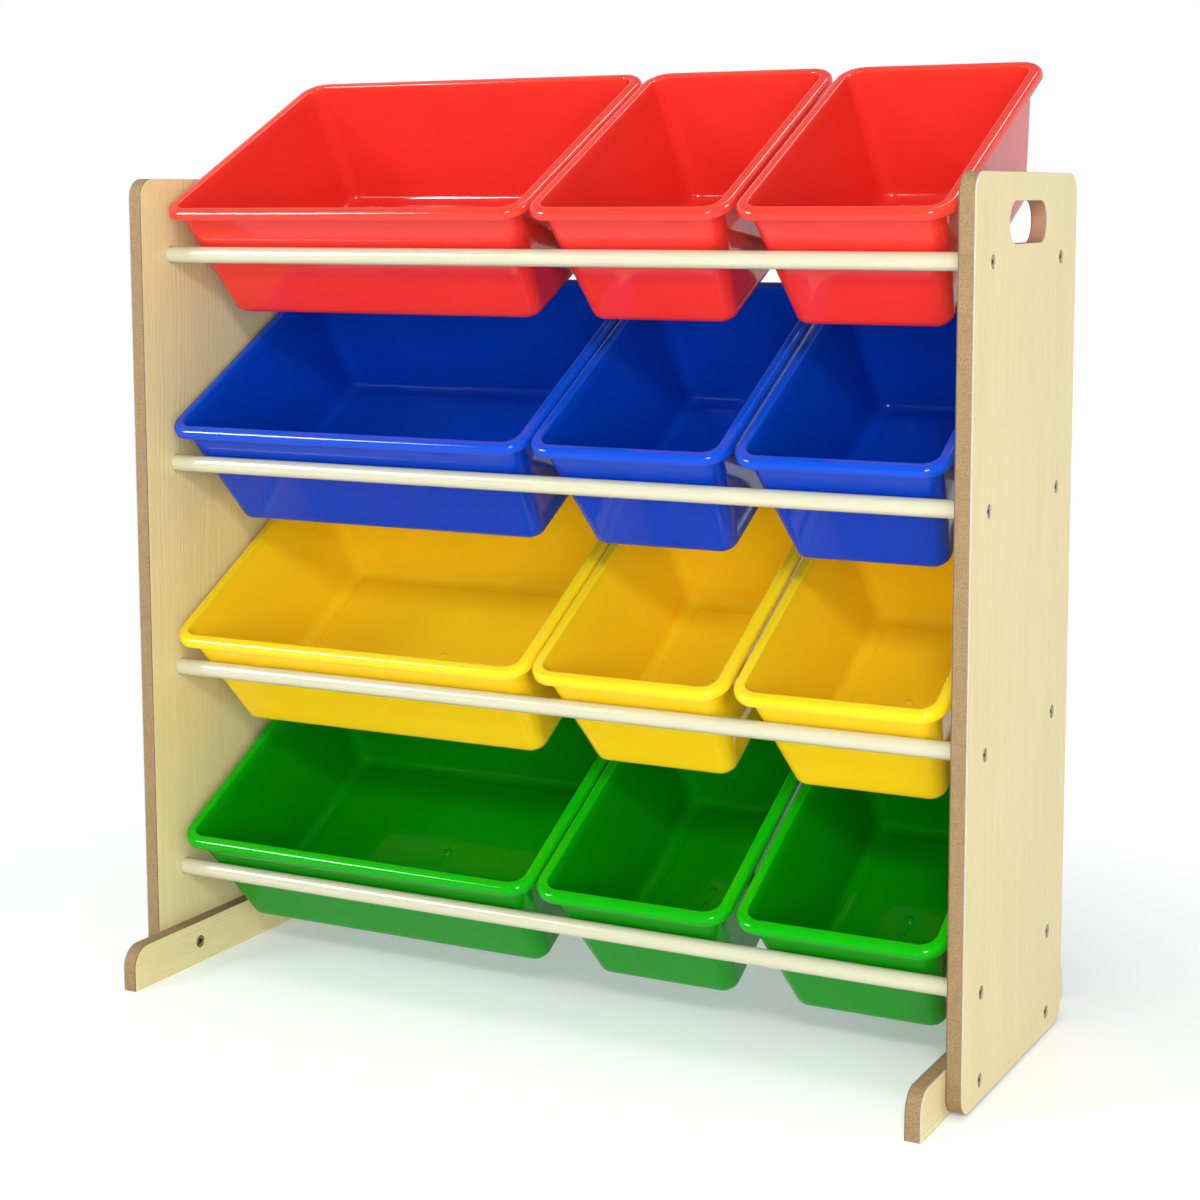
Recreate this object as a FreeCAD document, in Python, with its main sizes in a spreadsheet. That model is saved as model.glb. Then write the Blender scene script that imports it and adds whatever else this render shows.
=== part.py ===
import FreeCAD, Part
import math
import os
import re
import Sketcher

# Toy storage organizer: two board side panels on foot rails, four pairs of round rods between
# them, and twelve open plastic bins that lean forward on the rods.
# Frame: X to the right, Y to the back, Z up, in millimetres. The origin lies on the floor, midway
# between the panels and midway between the panels' front and rear edges.

# ---------------------------------------------------------------- driving dimensions
SIZES = {
    # side panels
    "panel_thickness": "15",
    "panel_floor_gap": "2",         # the panels hang clear of the floor, the foot rails carry them
    "panel_above_rods": "73.6",     # top rods' axis to the panel's top
    "panel_past_rods": "46",        # rods' axis to the panel's front and rear edges
    "panel_corner": "18",
    "edge_easing": "0.8",           # rounding of the boards' long edges
    "handle_length": "105",
    "handle_height": "36",
    "handle_drop": "42",            # panel top to the middle of the handle hole
    # foot rails
    "foot_thickness": "15",
    "foot_height": "42.5",
    "foot_overhang": "57.5",        # past the panel at the front and at the rear
    "foot_corner": "20",
    # rods
    "rod_diameter": "16",
    "rod_spread": "190",            # front rod to rear rod
    "lowest_rod": "98.6",           # floor to the axis of the lowest rods
    "row_spacing": "205.6",
    "socket_depth": "5",            # blind socket in the panel's inner face
    "socket_clearance": "0.5",      # on the radius
    # fasteners
    "bolt_head": "11.6",
    "bolt_head_height": "4",
    "bolt_shank": "6",
    "bolt_length": "30",
    "bolt_socket": "4",             # hexagon, across flats
    "bolt_socket_depth": "2.6",
    "head_sink": "1",               # panel's outer face to the bolt heads
    "recess_clearance": "0.5",      # on the radius of a head's or a flange's recess
    "bolt_clearance": "0.3",        # on the radius of the hole round the shank
    "thread_clearance": "0.1",      # on the radius, shank to nut
    "insert_diameter": "10",
    "insert_length": "18",
    "insert_clearance": "0.05",     # on the radius, insert to rod
    "bolt_end_room": "3",           # bored past the end of the bolt
    "foot_bolt_height": "21.6",
    "foot_bolt_room": "0.6",        # end of the bolt to the far side of the flange it screws into
    "sleeve_flange": "11.6",
    "sleeve_flange_height": "1.8",
    "flange_sink": "0.6",           # foot rail's inner face to the flange
    "sleeve_diameter": "8.4",
    "sleeve_end_room": "0.6",       # end of the sleeve to the panel
    # bins, in their own frame: X along the rim's front, Y back along the rim, Z out of the mouth
    "large_width": "400",
    "small_width": "197.5",
    "bin_length": "297",
    "bin_height": "128.5",
    "bin_wall": "2.2",
    "rim_overhang": "9",            # rim's outer edge to the wall's outer face
    "rim_height": "9",
    "rim_corner": "22",
    "rim_rounding": "4",
    "rim_lip_rounding": "1",
    "mouth_rounding": "1",
    "front_inset": "21",            # how far each wall leans in from the rim to the base
    "rear_inset": "13.5",
    "side_inset": "18.5",
    "base_corner": "15",
    "base_rounding": "8",
    # how the bins lie on the rods
    "red_tilt": "27",               # degrees, rim plane from level
    "blue_tilt": "29.3",
    "yellow_tilt": "30",
    "green_tilt": "29",
    "bin_rod_gap": "0.3",
    "first_gap": "2",               # large bin's rim to the next rim
    "second_gap": "4.5",            # small bin's rim to the next rim
    "end_room": "20.5",             # what a row of rims leaves between the panels, both ends together
    "red_left_room": "7.5",         # the part of it at the left end
    "blue_left_room": "6",
    "yellow_left_room": "5.5",
    "green_left_room": "9.5",
}
ROWS = ("green", "yellow", "blue", "red")    # from the lowest rods up
ACROSS = FreeCAD.Vector(1, 0, 0)
UP = FreeCAD.Vector(0, 0, 1)
SAME_PLANE = 0.01                            # how far off a plane an edge may lie and count as in it

# ---------------------------------------------------------------- worked-out sizes and places
ROWS_HEIGHT = f"(row_spacing * {len(ROWS) - 1})"
PANEL_WIDTH = "(rod_spread + 2 * panel_past_rods)"                   # front edge to rear edge
PANEL_HEIGHT = f"(lowest_rod + {ROWS_HEIGHT} + panel_above_rods - panel_floor_gap)"
ROOM_BETWEEN = "(large_width + first_gap + small_width + second_gap + small_width + end_room)"
INNER_FACE = f"({ROOM_BETWEEN} / 2)"                                 # from the middle
FRONT_ROD = "panel_past_rods"                                        # from the panel's front edge
REAR_ROD = "(panel_past_rods + rod_spread)"
ROD_IN_PANEL = "(lowest_rod - panel_floor_gap)"
FOOT_BOLT_IN_PANEL = "(foot_bolt_height - panel_floor_gap)"
ROD_HALF = f"({INNER_FACE} + socket_depth)"
RECESS_DEPTH = "(bolt_head_height + head_sink)"
BOLT_SEAT = f"(panel_thickness - {RECESS_DEPTH})"                    # outwards from the inner face
BOLT_HOLE = "(bolt_shank + 2 * bolt_clearance)"
THREAD_HOLE = "(bolt_shank + 2 * thread_clearance)"
SLEEVE_RECESS = "(sleeve_flange_height + flange_sink)"
SLEEVE_SEAT = f"(foot_thickness - {SLEEVE_RECESS})"                  # inwards from the inner face

doc = FreeCAD.newDocument("toy_storage_organizer")
sheet = doc.addObject("Spreadsheet::Sheet", "sizes")
for line, (name, number) in enumerate(SIZES.items(), start=1):
    sheet.set(f"A{line}", name)
    sheet.set(f"B{line}", number)
    sheet.setAlias(f"B{line}", name)
doc.recompute()


def tied(rule):
    """The rule with every size's name pointed at its cell."""
    return re.sub(r"[a-z_]+", lambda word: f"sizes.{word.group()}" if word.group() in SIZES
                  else word.group(), rule)


def value(rule):
    """The number that a rule gives now."""
    return float(sheet.evalExpression(tied(rule)))


def bind(thing, **rules):
    """Bind properties of a feature to rules on the sheet's sizes."""
    for name, rule in rules.items():
        thing.setExpression(name, tied(rule))


def place(thing, x="0", y="0", z="0"):
    for axis, rule in zip("xyz", (x, y, z)):
        thing.setExpression(f"Placement.Base.{axis}", tied(rule))


def turn(thing, axis, rule):
    thing.Placement = FreeCAD.Placement(FreeCAD.Vector(), FreeCAD.Rotation(axis, value(rule)))
    thing.setExpression("Placement.Rotation.Angle", tied(rule))


# ---------------------------------------------------------------- sketches
def new_body(label):
    body = doc.addObject("PartDesign::Body", label)
    body.Label = label
    return body


def new_sketch(body, name, plane, lift="0"):
    """A sketch on one of the body's own origin planes, moved along its normal by lift."""
    sketch = body.newObject("Sketcher::SketchObject", name)
    origin = next(f for f in body.Origin.OriginFeatures if f.Role == plane)
    sketch.AttachmentSupport = [(origin, "")]
    sketch.MapMode = "FlatFace"
    sketch.setExpression(".AttachmentOffset.Base.z", tied(lift))
    return sketch


def dimension(sketch, kind, geometry, rule):
    """Add a driving dimension and bind it; geometry is what Sketcher's constraint names."""
    index = sketch.addConstraint(Sketcher.Constraint(kind, *geometry, value(rule)))
    sketch.setExpression(f"Constraints[{index}]", tied(rule))


def draw_outline(sketch, left, low, right, high, radii):
    """A rectangle between four positions. radii holds the rules of its corners' radii,
    anticlockwise from the lower left one, with None for a sharp corner."""
    x0, y0, x1, y1 = (value(rule) for rule in (left, low, right, high))
    corners = ((x0, y0), (x1, y0), (x1, y1), (x0, y1))
    along = ((1, 0), (0, 1), (-1, 0), (0, -1))
    rounding = [value(rule) if rule else 0 for rule in radii]
    sides = []
    for i in range(4):
        start, end = corners[i], corners[(i + 1) % 4]
        cut_start, cut_end = rounding[i], rounding[(i + 1) % 4]
        sides.append(sketch.addGeometry(Part.LineSegment(
            FreeCAD.Vector(start[0] + along[i][0] * cut_start, start[1] + along[i][1] * cut_start),
            FreeCAD.Vector(end[0] - along[i][0] * cut_end, end[1] - along[i][1] * cut_end)), False))
        sketch.addConstraint(Sketcher.Constraint("Horizontal" if i % 2 == 0 else "Vertical", sides[i]))
    for i in range(4):
        before, after, radius = sides[i - 1], sides[i], rounding[i]
        if not radius:
            sketch.addConstraint(Sketcher.Constraint("Coincident", before, 2, after, 1))
            continue
        inward = (along[i][0] - along[i - 1][0], along[i][1] - along[i - 1][1])
        centre = FreeCAD.Vector(corners[i][0] + inward[0] * radius, corners[i][1] + inward[1] * radius)
        start_angle = math.pi / 2 * (i + 2)
        arc = sketch.addGeometry(Part.ArcOfCircle(Part.Circle(centre, UP, radius),
                                                  start_angle, start_angle + math.pi / 2), False)
        sketch.addConstraint(Sketcher.Constraint("Tangent", before, 2, arc, 1))
        sketch.addConstraint(Sketcher.Constraint("Tangent", arc, 2, after, 1))
        dimension(sketch, "Radius", (arc,), radii[i])
    dimension(sketch, "DistanceX", (-1, 1, sides[3], 1), left)
    dimension(sketch, "DistanceX", (-1, 1, sides[1], 1), right)
    dimension(sketch, "DistanceY", (-1, 1, sides[0], 1), low)
    dimension(sketch, "DistanceY", (-1, 1, sides[2], 1), high)


def draw_slot(sketch, x, y, length, width):
    """A slot with round ends, long side level, round the point x, y."""
    middle = FreeCAD.Vector(value(x), value(y))
    reach = FreeCAD.Vector((value(length) - value(width)) / 2, 0)
    radius = value(width) / 2
    half = FreeCAD.Vector(0, radius)
    low = sketch.addGeometry(Part.LineSegment(middle - reach - half, middle + reach - half), False)
    right = sketch.addGeometry(Part.ArcOfCircle(Part.Circle(middle + reach, UP, radius),
                                                -math.pi / 2, math.pi / 2), False)
    high = sketch.addGeometry(Part.LineSegment(middle + reach + half, middle - reach + half), False)
    left = sketch.addGeometry(Part.ArcOfCircle(Part.Circle(middle - reach, UP, radius),
                                               math.pi / 2, 3 * math.pi / 2), False)
    ring = (low, right, high, left)
    for i in range(4):
        sketch.addConstraint(Sketcher.Constraint("Tangent", ring[i - 1], 2, ring[i], 1))
    sketch.addConstraint(Sketcher.Constraint("Horizontal", low))
    dimension(sketch, "DistanceX", (-1, 1, left, 3), f"{x} - ({length} - {width}) / 2")
    dimension(sketch, "DistanceX", (-1, 1, right, 3), f"{x} + ({length} - {width}) / 2")
    dimension(sketch, "DistanceY", (-1, 1, left, 3), y)
    dimension(sketch, "Radius", (right,), f"{width} / 2")


def draw_circle(sketch, x, y, diameter):
    circle = sketch.addGeometry(Part.Circle(FreeCAD.Vector(value(x), value(y)), UP,
                                            value(diameter) / 2), False)
    dimension(sketch, "DistanceX", (-1, 1, circle, 3), x)
    dimension(sketch, "DistanceY", (-1, 1, circle, 3), y)
    dimension(sketch, "Diameter", (circle,), diameter)


def draw_hexagon(sketch, x, y, flats):
    """A regular hexagon on a construction circle that touches its flats."""
    middle = FreeCAD.Vector(value(x), value(y))
    inscribed = sketch.addGeometry(Part.Circle(middle, UP, value(flats) / 2), True)
    reach = FreeCAD.Vector(value(flats) / math.sqrt(3), 0)
    points = [middle + FreeCAD.Rotation(UP, 60 * i).multVec(reach) for i in range(6)]
    edges = [sketch.addGeometry(Part.LineSegment(points[i], points[(i + 1) % 6]), False) for i in range(6)]
    for i, edge in enumerate(edges):
        sketch.addConstraint(Sketcher.Constraint("Coincident", edges[i - 1], 2, edge, 1))
        sketch.addConstraint(Sketcher.Constraint("Tangent", edge, inscribed))
        if i:
            sketch.addConstraint(Sketcher.Constraint("Equal", edges[0], edge))
    sketch.addConstraint(Sketcher.Constraint("Horizontal", edges[1]))
    dimension(sketch, "DistanceX", (-1, 1, inscribed, 3), x)
    dimension(sketch, "DistanceY", (-1, 1, inscribed, 3), y)
    dimension(sketch, "Diameter", (inscribed,), flats)


# ---------------------------------------------------------------- features
def grow(body, name, sketch, length, towards_minus=False, midplane=False):
    pad = body.newObject("PartDesign::Pad", name)
    pad.Profile = sketch
    pad.Reversed = towards_minus
    pad.Midplane = midplane
    bind(pad, Length=length)
    doc.recompute()
    return pad


def cut(body, name, sketch, length, towards_plus=False):
    """A pocket from the sketch; it has to take something away."""
    before = body.Shape.Volume
    pocket = body.newObject("PartDesign::Pocket", name)
    pocket.Profile = sketch
    pocket.Reversed = towards_plus
    bind(pocket, Length=length)
    doc.recompute()
    if body.Shape.Volume >= before:
        raise RuntimeError(f"{body.Label}: {name} cuts nothing")
    return pocket


def loft(body, name, kind, first, last):
    feature = body.newObject(kind, name)
    feature.Profile = first
    feature.Sections = [last]
    feature.Ruled = True
    doc.recompute()
    return feature


def round_edges(body, name, radius, chosen):
    """Fillet the edges of the body's tip that chosen(edge) picks."""
    tip = body.Tip
    picked = [f"Edge{i}" for i, edge in enumerate(tip.Shape.Edges, start=1) if chosen(edge)]
    fillet = body.newObject("PartDesign::Fillet", name)
    fillet.Base = (tip, picked)
    bind(fillet, Radius=radius)
    doc.recompute()
    return fillet


def repeat_up(body, name, features):
    """Repeat features of the lowest row at every other row."""
    pattern = body.newObject("PartDesign::LinearPattern", name)
    pattern.Originals = features
    pattern.Direction = (next(f for f in body.Origin.OriginFeatures if f.Role == "Z_Axis"), [""])
    pattern.Occurrences = len(ROWS)
    bind(pattern, Length=ROWS_HEIGHT)
    body.Tip = pattern
    doc.recompute()
    return pattern


def lies_in(edge, axis, level):
    """True for an edge that lies in the plane where the axis has that level."""
    box = edge.BoundBox
    ends = (getattr(box, f"{axis}Min"), getattr(box, f"{axis}Max"))
    return all(abs(end - level) < SAME_PLANE for end in ends)


def outlines_face(edge, thickness):
    """True for an edge round either face of a board that stands on X 0, but not for a bore's."""
    round_hole = isinstance(edge.Curve, Part.Circle) and edge.isClosed()
    return not round_hole and any(lies_in(edge, "X", level) for level in (0, thickness))


# ---------------------------------------------------------------- frame
def side_of(body, right, x, z="0"):
    """Stand a board at its side. Boards are drawn for the right, from x in outwards; the left
    one is the same board turned half round, because front and rear are alike."""
    if right:
        place(body, x=x, y=f"-{PANEL_WIDTH} / 2", z=z)
    else:
        turn(body, UP, "180")
        place(body, x=f"-({x})", y=f"{PANEL_WIDTH} / 2", z=z)


def both_rods(sketch, height, diameter):
    draw_circle(sketch, FRONT_ROD, height, diameter)
    draw_circle(sketch, REAR_ROD, height, diameter)


def side_panel(label, right):
    """Board with a handle hole, blind rod sockets inside and bolt recesses outside."""
    body = new_body(label)
    outline = new_sketch(body, "outline", "YZ_Plane")
    draw_outline(outline, "0", "0", PANEL_WIDTH, PANEL_HEIGHT, ["panel_corner"] * 4)
    grow(body, "board", outline, "panel_thickness")

    socket = new_sketch(body, "socket_circles", "YZ_Plane")
    both_rods(socket, ROD_IN_PANEL, "rod_diameter + 2 * socket_clearance")
    sockets = cut(body, "rod_sockets", socket, "socket_depth", towards_plus=True)
    hole = new_sketch(body, "hole_circles", "YZ_Plane")
    both_rods(hole, ROD_IN_PANEL, BOLT_HOLE)
    holes = cut(body, "bolt_holes", hole, "panel_thickness", towards_plus=True)
    recess = new_sketch(body, "recess_circles", "YZ_Plane", lift="panel_thickness")
    both_rods(recess, ROD_IN_PANEL, "bolt_head + 2 * recess_clearance")
    recesses = cut(body, "bolt_recesses", recess, RECESS_DEPTH)
    repeat_up(body, "rows", [sockets, holes, recesses])

    foot_hole = new_sketch(body, "foot_hole_circles", "YZ_Plane")
    both_rods(foot_hole, FOOT_BOLT_IN_PANEL, BOLT_HOLE)
    cut(body, "foot_bolt_holes", foot_hole, "panel_thickness", towards_plus=True)
    foot_recess = new_sketch(body, "foot_recess_circles", "YZ_Plane", lift="panel_thickness")
    both_rods(foot_recess, FOOT_BOLT_IN_PANEL, "bolt_head + 2 * recess_clearance")
    cut(body, "foot_bolt_recesses", foot_recess, RECESS_DEPTH)

    handle = new_sketch(body, "handle_slot", "YZ_Plane")
    draw_slot(handle, f"{PANEL_WIDTH} / 2", f"{PANEL_HEIGHT} - handle_drop", "handle_length",
              "handle_height")
    cut(body, "handle_hole", handle, "panel_thickness", towards_plus=True)
    thickness = value("panel_thickness")
    round_edges(body, "eased_edges", "edge_easing", lambda edge: outlines_face(edge, thickness))
    side_of(body, right, INNER_FACE, "panel_floor_gap")
    return body


def foot_rail(label, right):
    """Rail on the panel's inner face that reaches past it at the front and at the rear. Its
    lower edges stay sharp."""
    body = new_body(label)
    outline = new_sketch(body, "outline", "YZ_Plane")
    draw_outline(outline, "-foot_overhang", "0", f"{PANEL_WIDTH} + foot_overhang", "foot_height",
                 [None, None, "foot_corner", "foot_corner"])
    grow(body, "board", outline, "foot_thickness")
    hole = new_sketch(body, "sleeve_circles", "YZ_Plane")
    both_rods(hole, "foot_bolt_height", "sleeve_diameter + 2 * bolt_clearance")
    cut(body, "sleeve_holes", hole, "foot_thickness", towards_plus=True)
    recess = new_sketch(body, "recess_circles", "YZ_Plane")
    both_rods(recess, "foot_bolt_height", "sleeve_flange + 2 * recess_clearance")
    cut(body, "sleeve_recesses", recess, SLEEVE_RECESS, towards_plus=True)
    thickness = value("foot_thickness")
    round_edges(body, "eased_edges", "edge_easing",
                lambda edge: outlines_face(edge, thickness) and not lies_in(edge, "Z", 0))
    side_of(body, right, f"{INNER_FACE} - foot_thickness")
    return body


def rod(label, front, row):
    """Round rod, bored at both ends for the threaded inserts and the bolts' ends."""
    body = new_body(label)
    section = new_sketch(body, "section", "YZ_Plane")
    draw_circle(section, "0", "0", "rod_diameter")
    grow(body, "dowel", section, f"2 * {ROD_HALF}", midplane=True)
    seat = new_sketch(body, "insert_circle", "YZ_Plane", lift=ROD_HALF)
    draw_circle(seat, "0", "0", "insert_diameter + 2 * insert_clearance")
    seat_bore = cut(body, "insert_bore", seat, "insert_length")
    end = new_sketch(body, "bolt_circle", "YZ_Plane", lift=ROD_HALF)
    draw_circle(end, "0", "0", BOLT_HOLE)
    end_bore = cut(body, "bolt_bore", end, f"bolt_length - {BOLT_SEAT} + socket_depth + bolt_end_room")
    mirror = body.newObject("PartDesign::Mirrored", "other_end")
    mirror.Originals = [seat_bore, end_bore]
    mirror.MirrorPlane = (next(f for f in body.Origin.OriginFeatures if f.Role == "YZ_Plane"), [""])
    body.Tip = mirror
    place(body, y="-rod_spread / 2" if front else "rod_spread / 2",
          z=f"lowest_rod + {row} * row_spacing")
    return body


# ---------------------------------------------------------------- fasteners, one group for a side
def rod_bolts(label, right):
    """Hexagon socket bolts that hold one side's rod ends, head outwards."""
    body = new_body(label)
    head = new_sketch(body, "head_circles", "YZ_Plane", lift=BOLT_SEAT)
    both_rods(head, ROD_IN_PANEL, "bolt_head")
    heads = grow(body, "heads", head, "bolt_head_height")
    shank = new_sketch(body, "shank_circles", "YZ_Plane", lift=BOLT_SEAT)
    both_rods(shank, ROD_IN_PANEL, "bolt_shank")
    shanks = grow(body, "shanks", shank, "bolt_length", towards_minus=True)
    key = new_sketch(body, "key_hexagons", "YZ_Plane", lift=f"{BOLT_SEAT} + bolt_head_height")
    for place_along in (FRONT_ROD, REAR_ROD):
        draw_hexagon(key, place_along, ROD_IN_PANEL, "bolt_socket")
    keys = cut(body, "key_sockets", key, "bolt_socket_depth")
    repeat_up(body, "rows", [heads, shanks, keys])
    side_of(body, right, INNER_FACE, "panel_floor_gap")
    return body


def rod_inserts(label, right):
    """Threaded sleeves pressed into one side's rod ends."""
    body = new_body(label)
    ring = new_sketch(body, "insert_rings", "YZ_Plane", lift="socket_depth")
    both_rods(ring, ROD_IN_PANEL, "insert_diameter")
    both_rods(ring, ROD_IN_PANEL, THREAD_HOLE)
    sleeves = grow(body, "sleeves", ring, "insert_length", towards_minus=True)
    repeat_up(body, "rows", [sleeves])
    side_of(body, right, INNER_FACE, "panel_floor_gap")
    return body


def foot_bolts(label, right):
    """Bolts that pull one side's foot rail against its panel."""
    body = new_body(label)
    head = new_sketch(body, "head_circles", "YZ_Plane", lift=BOLT_SEAT)
    both_rods(head, "foot_bolt_height", "bolt_head")
    grow(body, "heads", head, "bolt_head_height")
    shank = new_sketch(body, "shank_circles", "YZ_Plane", lift=BOLT_SEAT)
    both_rods(shank, "foot_bolt_height", "bolt_shank")
    grow(body, "shanks", shank, f"{BOLT_SEAT} + {SLEEVE_SEAT} - foot_bolt_room", towards_minus=True)
    key = new_sketch(body, "key_hexagons", "YZ_Plane", lift=f"{BOLT_SEAT} + bolt_head_height")
    for place_along in (FRONT_ROD, REAR_ROD):
        draw_hexagon(key, place_along, "foot_bolt_height", "bolt_socket")
    cut(body, "key_sockets", key, "bolt_socket_depth")
    side_of(body, right, INNER_FACE)
    return body


def sleeve_nuts(label, right):
    """Flanged sleeve nuts in one side's foot rail."""
    body = new_body(label)
    flange = new_sketch(body, "flange_rings", "YZ_Plane", lift=f"-{SLEEVE_SEAT}")
    both_rods(flange, "foot_bolt_height", "sleeve_flange")
    both_rods(flange, "foot_bolt_height", THREAD_HOLE)
    grow(body, "flanges", flange, "sleeve_flange_height", towards_minus=True)
    sleeve = new_sketch(body, "sleeve_rings", "YZ_Plane", lift=f"-{SLEEVE_SEAT}")
    both_rods(sleeve, "foot_bolt_height", "sleeve_diameter")
    both_rods(sleeve, "foot_bolt_height", THREAD_HOLE)
    grow(body, "sleeves", sleeve, f"{SLEEVE_SEAT} - sleeve_end_room")
    side_of(body, right, INNER_FACE)
    return body


# ---------------------------------------------------------------- bins
def ring_of(sketch, width, inset, front, rear, side, corner):
    """A rounded rectangle inside the rim's outline, set in by inset and by each wall's own lean."""
    draw_outline(sketch, f"{inset} + {side}", f"{inset} + {front}", f"{width} - {inset} - {side}",
                 f"bin_length - {inset} - {rear}", [corner] * 4)


def bin_seat(tilt):
    """Rules for where the rim's front edge lies, from the middle of the rods' plane and from the
    rods' height: the front wall leans on the front rod and the base lies on the rear rod."""
    slope = "(front_inset / bin_height)"
    touch = "(rod_diameter / 2 + bin_rod_gap)"
    wall = f"(rim_overhang - {touch} * sqrt(1 + {slope}^2))"
    base = f"(rod_spread * sin({tilt}) - bin_height - {touch})"
    back = f"({wall} * cos({tilt}) - {base} * (sin({tilt}) + cos({tilt}) * {slope}))"
    rise = f"({base} * (cos({tilt}) - sin({tilt}) * {slope}) + {wall} * sin({tilt}))"
    return f"-rod_spread / 2 - {back}", f"-{rise}"


def storage_bin(label, width, left, tilt, row):
    """Open bin with leaning walls, a rolled rim whose skirt hangs outside the wall, and a
    rounded base."""
    body = new_body(label)
    rim = new_sketch(body, "rim_outline", "XY_Plane")
    draw_outline(rim, "0", "0", width, "bin_length", ["rim_corner"] * 4)
    grow(body, "rim", rim, "rim_height", towards_minus=True)
    round_edges(body, "rim_roll", "rim_rounding", lambda edge: lies_in(edge, "Z", 0))
    round_edges(body, "rim_lip", "rim_lip_rounding",
                lambda edge: lies_in(edge, "Z", -value("rim_height")))
    under = new_sketch(body, "skirt_inside", "XY_Plane", lift="-rim_height")
    draw_outline(under, "bin_wall", "bin_wall", f"{width} - bin_wall", "bin_length - bin_wall",
                 ["rim_corner - bin_wall"] * 4)
    cut(body, "under_rim", under, "rim_height - bin_wall", towards_plus=True)

    mouth = new_sketch(body, "wall_top", "XY_Plane")
    ring_of(mouth, width, "rim_overhang", "0", "0", "0", "rim_corner - rim_overhang")
    base = new_sketch(body, "wall_base", "XY_Plane", lift="-bin_height")
    ring_of(base, width, "rim_overhang", "front_inset", "rear_inset", "side_inset", "base_corner")
    loft(body, "outer_walls", "PartDesign::AdditiveLoft", mouth, base)
    round_edges(body, "base_edge", "base_rounding", lambda edge: lies_in(edge, "Z", -value("bin_height")))

    opening = new_sketch(body, "mouth_inside", "XY_Plane")
    ring_of(opening, width, "(rim_overhang + bin_wall)", "0", "0", "0",
            "rim_corner - rim_overhang - bin_wall")
    floor = new_sketch(body, "floor_inside", "XY_Plane", lift="bin_wall - bin_height")
    ring_of(floor, width, "(rim_overhang + bin_wall)", "front_inset", "rear_inset", "side_inset",
            "base_corner - bin_wall")
    loft(body, "hollow", "PartDesign::SubtractiveLoft", opening, floor)
    round_edges(body, "floor_edge", "base_rounding - bin_wall",
                lambda edge: lies_in(edge, "Z", value("bin_wall - bin_height")))
    past_rim = value("rim_overhang")
    round_edges(body, "mouth_edge", "mouth_rounding", lambda edge: lies_in(edge, "Z", 0)
                and edge.BoundBox.XMin > past_rim and edge.BoundBox.YMin > past_rim)

    back, rise = bin_seat(tilt)
    turn(body, ACROSS, tilt)
    place(body, x=left, y=back, z=f"lowest_rod + {row} * row_spacing {rise}")
    return body


# ---------------------------------------------------------------- the whole organizer
parts = []
for side, is_right in (("left", False), ("right", True)):
    parts.append(side_panel(f"{side}_side_panel", is_right))
    parts.append(foot_rail(f"{side}_foot_rail", is_right))
    parts.append(rod_bolts(f"{side}_rod_bolts", is_right))
    parts.append(rod_inserts(f"{side}_rod_inserts", is_right))
    parts.append(foot_bolts(f"{side}_foot_bolts", is_right))
    parts.append(sleeve_nuts(f"{side}_sleeve_nuts", is_right))

for row, colour in enumerate(ROWS):
    parts.append(rod(f"front_rod_{len(ROWS) - row}", True, row))
    parts.append(rod(f"rear_rod_{len(ROWS) - row}", False, row))
    tilt = f"{colour}_tilt"
    large_left = f"({colour}_left_room - {INNER_FACE})"
    first_left = f"({large_left} + large_width + first_gap)"
    second_left = f"({first_left} + small_width + second_gap)"
    parts.append(storage_bin(f"{colour}_large_bin", "large_width", large_left, tilt, row))
    parts.append(storage_bin(f"{colour}_small_bin_1", "small_width", first_left, tilt, row))
    parts.append(storage_bin(f"{colour}_small_bin_2", "small_width", second_left, tilt, row))

doc.recompute()
for thing in doc.Objects:
    if "Invalid" in thing.State or "Error" in thing.State:
        raise RuntimeError(f"{thing.Label} failed: {thing.State}")
os.makedirs("parts", exist_ok=True)
for part in parts:
    if part.Shape.isNull() or not part.Shape.isValid():
        raise RuntimeError(f"{part.Label} has no valid shape")
    part.Shape.exportStep(f"parts/{part.Label}.step")
    print(part.Label, len(part.Shape.Solids), round(part.Shape.Volume))
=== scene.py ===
import math
import bpy
from mathutils import Matrix, Vector


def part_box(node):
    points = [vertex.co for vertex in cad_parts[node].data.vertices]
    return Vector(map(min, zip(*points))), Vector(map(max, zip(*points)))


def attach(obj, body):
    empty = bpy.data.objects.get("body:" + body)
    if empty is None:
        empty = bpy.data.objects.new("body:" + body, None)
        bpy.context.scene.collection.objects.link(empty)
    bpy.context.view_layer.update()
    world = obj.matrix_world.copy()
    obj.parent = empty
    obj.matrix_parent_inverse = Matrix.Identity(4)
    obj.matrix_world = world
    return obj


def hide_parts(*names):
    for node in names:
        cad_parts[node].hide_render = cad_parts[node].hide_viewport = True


# Toy storage organizer: laminated side panels on foot rails, cream rods and twelve glossy moulded
# bins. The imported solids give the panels, rails, rods and fasteners; the bins are remade here
# with finer mouldings. Lengths are in metres.

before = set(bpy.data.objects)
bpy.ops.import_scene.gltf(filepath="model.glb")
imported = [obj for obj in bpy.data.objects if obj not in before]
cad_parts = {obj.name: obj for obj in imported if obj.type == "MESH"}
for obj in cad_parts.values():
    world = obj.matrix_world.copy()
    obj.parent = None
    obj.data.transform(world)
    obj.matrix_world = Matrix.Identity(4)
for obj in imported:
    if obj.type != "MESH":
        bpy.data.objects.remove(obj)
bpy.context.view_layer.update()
MM = 0.001

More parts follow.
